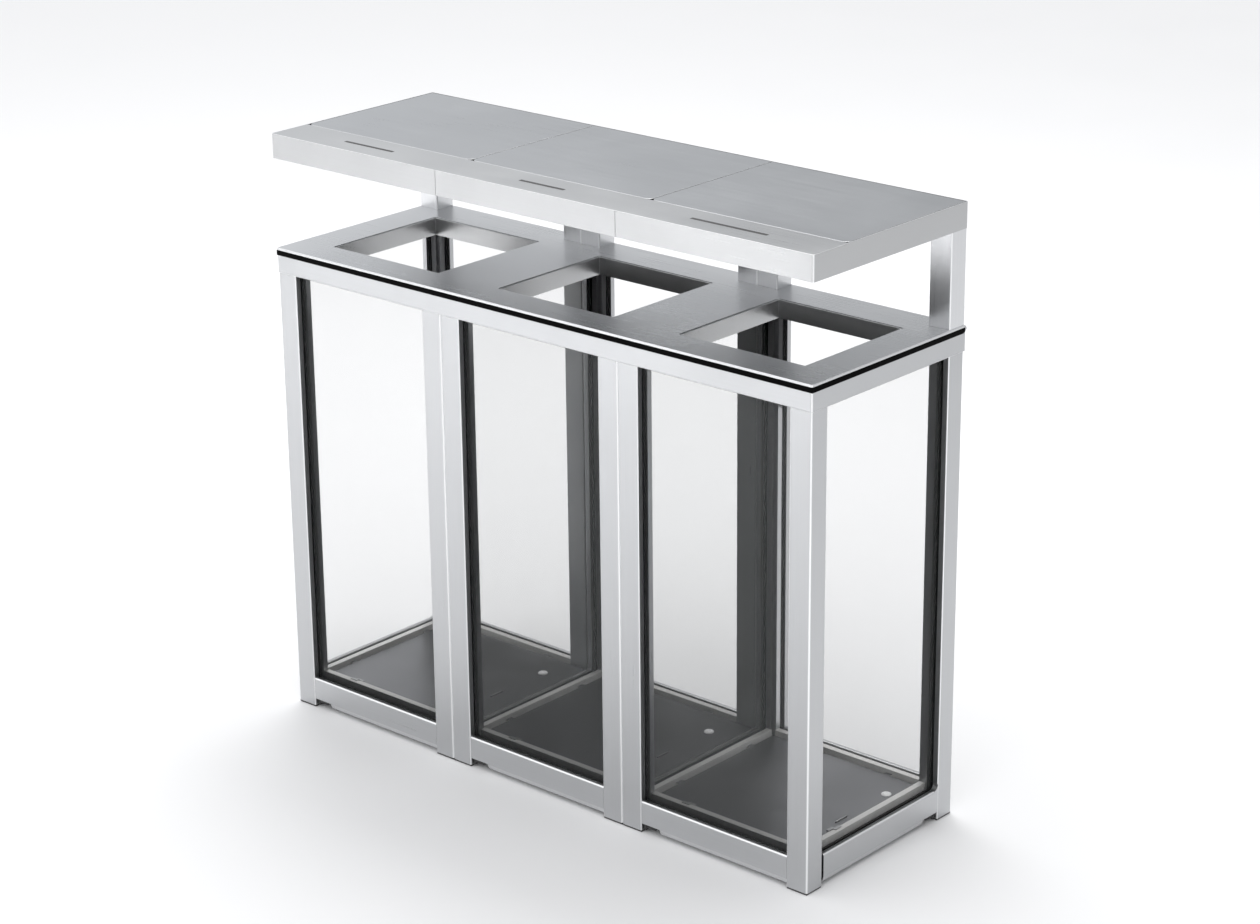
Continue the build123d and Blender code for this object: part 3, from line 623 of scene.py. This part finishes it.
def studio_world(low_left, low_rear, low_front, zenith):
    """The studio's sky: three colours low down, to the left, behind and in front, and one overhead."""
    world = bpy.data.worlds.new("studio_world")
    tree = NodeTree(world)
    direction = tree.nodes.new("ShaderNodeTexCoord").outputs["Generated"]
    side = tree.spread(tree.part(direction, "X"), 0, 1, -0.76, -0.52)
    front = tree.spread(tree.part(direction, "Y"), 0, 1, -0.15, -0.45)
    height = tree.spread(tree.part(direction, "Z"), 0, 1, 0.45, 0.95)
    low = tree.mix(front, tree.mix(side, low_left, low_rear), low_front)
    tree.links.new(tree.mix(height, low, zenith), tree.nodes["Background"].inputs["Color"])
    return world


bpy.context.scene.world = studio_world(
    low_left=(0.9, 0.92, 0.95),
    low_rear=(0.45, 0.46, 0.475),
    low_front=(1.22, 1.23, 1.25),
    zenith=grey(1.22),
)
softbox("front_light", (-2.1, -3.2, 2.0), (-2.1, -3.2, 0), size=(3.2, 1.6), power=44, spread=110)
softbox("side_light", (1.9, -1.4, 2.7), (1.9, -1.4, 0), size=(1.2, 1.0), power=5, spread=60)
softbox("rear_light", (-1.2, 1.5, 4.2), (-1.2, 1.0, 0), size=(3.4, 1.8), power=44, spread=120)

# ---- cards just inside the panes, which set what the steel of the bays mirrors -------------
CARD_GAP = 0.006            # from a pane's middle
REAR_CARD_TOP = 0.66
POST_CARD_WIDTH = 0.055
END_CARD_FRONT = 0.1
CAD_CENTRE = (Vector(cad_box[0]) + Vector(cad_box[1])) / 2


def card_finish(name, level):
    """A dull grey that mirrors nothing."""
    return Shader(name, Base_Color=(*grey(level), 1), Roughness=1.0, Specular_IOR_Level=0.0).material


def pane_card(name, node, finish, shades_floor=False, bottom=0.0, top=1.0, front=-1.0, width=1.0):
    """An unseen card over a pane, or over the part of it that lies within limits, in metres."""
    low, high = (Vector(corner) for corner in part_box(node))
    low.y, low.z, high.z = max(low.y, front), max(low.z, bottom), min(high.z, top)
    high.x = min(high.x, low.x + width)
    middle = (low + high) / 2
    if high.x - low.x > high.y - low.y:
        y = middle.y + math.copysign(CARD_GAP, CAD_CENTRE.y - middle.y)
        corners = [(low.x, y, low.z), (high.x, y, low.z), (high.x, y, high.z), (low.x, y, high.z)]
    else:
        x = middle.x + math.copysign(CARD_GAP, CAD_CENTRE.x - middle.x)
        corners = [(x, low.y, low.z), (x, high.y, low.z), (x, high.y, high.z), (x, low.y, high.z)]
    card = sheet(name, corners, finish)
    card.visible_camera = False
    card.visible_transmission = False
    card.visible_diffuse = shades_floor
    card.visible_shadow = shades_floor


black_card = card_finish("black_card_finish", 0.1)
grey_card = card_finish("grey_card_finish", 0.6)
for bay in BAYS:
    pane_card(f"{bay}_front_card", f"{bay}_front_pane", black_card, shades_floor=True)
    pane_card(f"{bay}_post_card", f"{bay}_rear_pane", grey_card, bottom=REAR_CARD_TOP, width=POST_CARD_WIDTH)
for bay in ("left", "centre"):
    pane_card(f"{bay}_rear_card", f"{bay}_rear_pane", black_card, top=REAR_CARD_TOP)
for place in ("left_divider", "right_divider", "right_end"):
    pane_card(f"{place}_card", f"{place}_pane", black_card)
pane_card("left_end_card", "left_end_pane", grey_card, front=END_CARD_FRONT)


# ---- camera ------------------------------------------------------------------------------
SENSOR_WIDTH = 36.0
LENS = 90.09
CAMERA_PLACE = Vector((3.41465, -3.81465, 2.40646))
CAMERA_AZIMUTH = math.radians(41.45)
CAMERA_ELEVATION = math.radians(19.9)
CAMERA_ROLL = -0.01         # radians


def studio_camera():
    """The camera, at the catalogue view's angle."""
    flat = math.cos(CAMERA_ELEVATION)
    x, y = math.sin(CAMERA_AZIMUTH) * flat, -math.cos(CAMERA_AZIMUTH) * flat
    back = Vector((x, y, math.sin(CAMERA_ELEVATION)))
    right = (-back).cross(Vector((0, 0, 1))).normalized()
    up = right.cross(-back)
    turn, tilt = math.cos(CAMERA_ROLL), math.sin(CAMERA_ROLL)
    axes = Matrix((turn * right + tilt * up, -tilt * right + turn * up, back)).transposed()
    data = bpy.data.cameras.new("studio_camera")
    data.sensor_width = SENSOR_WIDTH
    data.lens = LENS
    camera = bpy.data.objects.new("studio_camera", data)
    camera.matrix_world = Matrix.Translation(CAMERA_PLACE) @ axes.to_4x4()
    bpy.context.scene.collection.objects.link(camera)
    return camera


bpy.context.scene.camera = studio_camera()
bpy.context.scene.view_settings.view_transform = "Standard"
bpy.context.scene.view_settings.look = "None"
